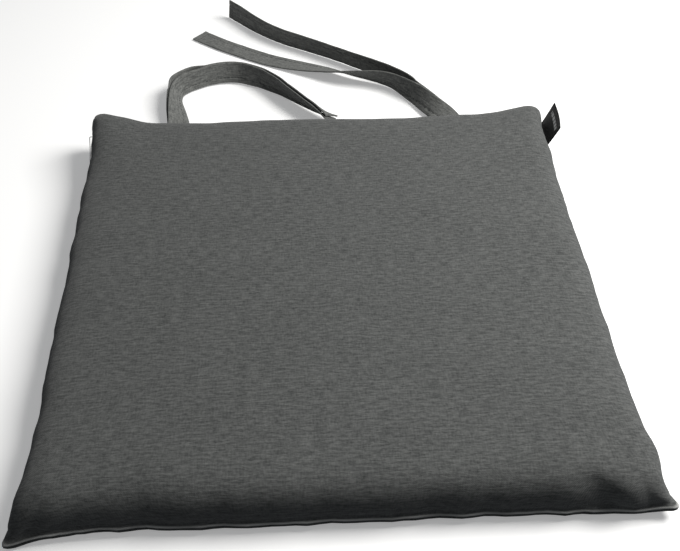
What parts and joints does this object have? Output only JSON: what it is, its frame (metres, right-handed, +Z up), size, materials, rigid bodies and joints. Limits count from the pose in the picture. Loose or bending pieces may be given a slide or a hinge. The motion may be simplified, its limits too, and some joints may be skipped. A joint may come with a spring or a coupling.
{
  "type": "chair seat pad",
  "caption": "Square fabric chair seat pad with a foam filling, low knife-edge seams, upturned rear corners, tie straps at the back edge, a side label and a rear zip.",
  "frame": {"origin": "middle of the flat underside, on the surface that the pad rests on", "axes": "+Z up out of the seat; +Y towards the chair's back, where the ties and the zip are; +X to the right of someone who looks that way, the label's side"},
  "size_m": [0.4215, 0.6439, 0.042],
  "materials": {
    "cover_fabric": "melange grey plain-weave canvas, matt",
    "tie_fabric": "the same canvas, folded and stitched, matt",
    "foam": "open-cell polyurethane foam",
    "sewing_thread": "spun polyester thread",
    "label_satin": "black woven satin, slight sheen",
    "zip_tape": "woven polyester tape",
    "zip_coil": "nylon coil",
    "zip_metal": "dark lacquered zinc"
  },
  "bodies": {
    "pad": {"cover_top_panel": "cover_fabric", "cover_bottom_panel": "cover_fabric", "foam_core": "foam", "seam_thread": "sewing_thread", "zip_tape_upper": "zip_tape", "zip_tape_lower": "zip_tape", "zip_coil_upper": "zip_coil", "zip_coil_lower": "zip_coil", "zip_stop_open_end": "zip_metal", "zip_stop_closed_end": "zip_metal"},
    "tie_left": {"tie_left_front_strap": "tie_fabric", "tie_left_back_strap": "tie_fabric"},
    "tie_right": {"tie_right_front_strap": "tie_fabric", "tie_right_back_strap": "tie_fabric"},
    "label_flap": {"label": "label_satin"},
    "slider": {"zip_slider": "zip_metal"},
    "pull": {"zip_pull": "zip_metal"}
  },
  "joints": [
    {"name": "tie_left_lift", "type": "hinge", "parent": "pad", "child": "tie_left", "pos_m": [-0.125, 0.2012, 0.0099], "axis": [1, 0, 0], "range_deg": [0, 90]},
    {"name": "tie_right_lift", "type": "hinge", "parent": "pad", "child": "tie_right", "pos_m": [0.125, 0.2012, 0.0099], "axis": [1, 0, 0], "range_deg": [0, 90]},
    {"name": "label_fold", "type": "hinge", "parent": "pad", "child": "label_flap", "pos_m": [0.2024, 0.18, 0.0135], "axis": [0.1122, 0.9904, 0.0804], "range_deg": [-22, 64], "stiffness_Nm_per_rad": 0.003},
    {"name": "zip_slide", "type": "slide", "parent": "pad", "child": "slider", "axis": [-1, 0, 0], "range_m": [0, 0.191]},
    {"name": "pull_swing", "type": "hinge", "parent": "slider", "child": "pull", "pos_m": [0.0955, 0.2016, 0.007], "axis": [0, 0, -1], "range_deg": [0, 175]}
  ]
}
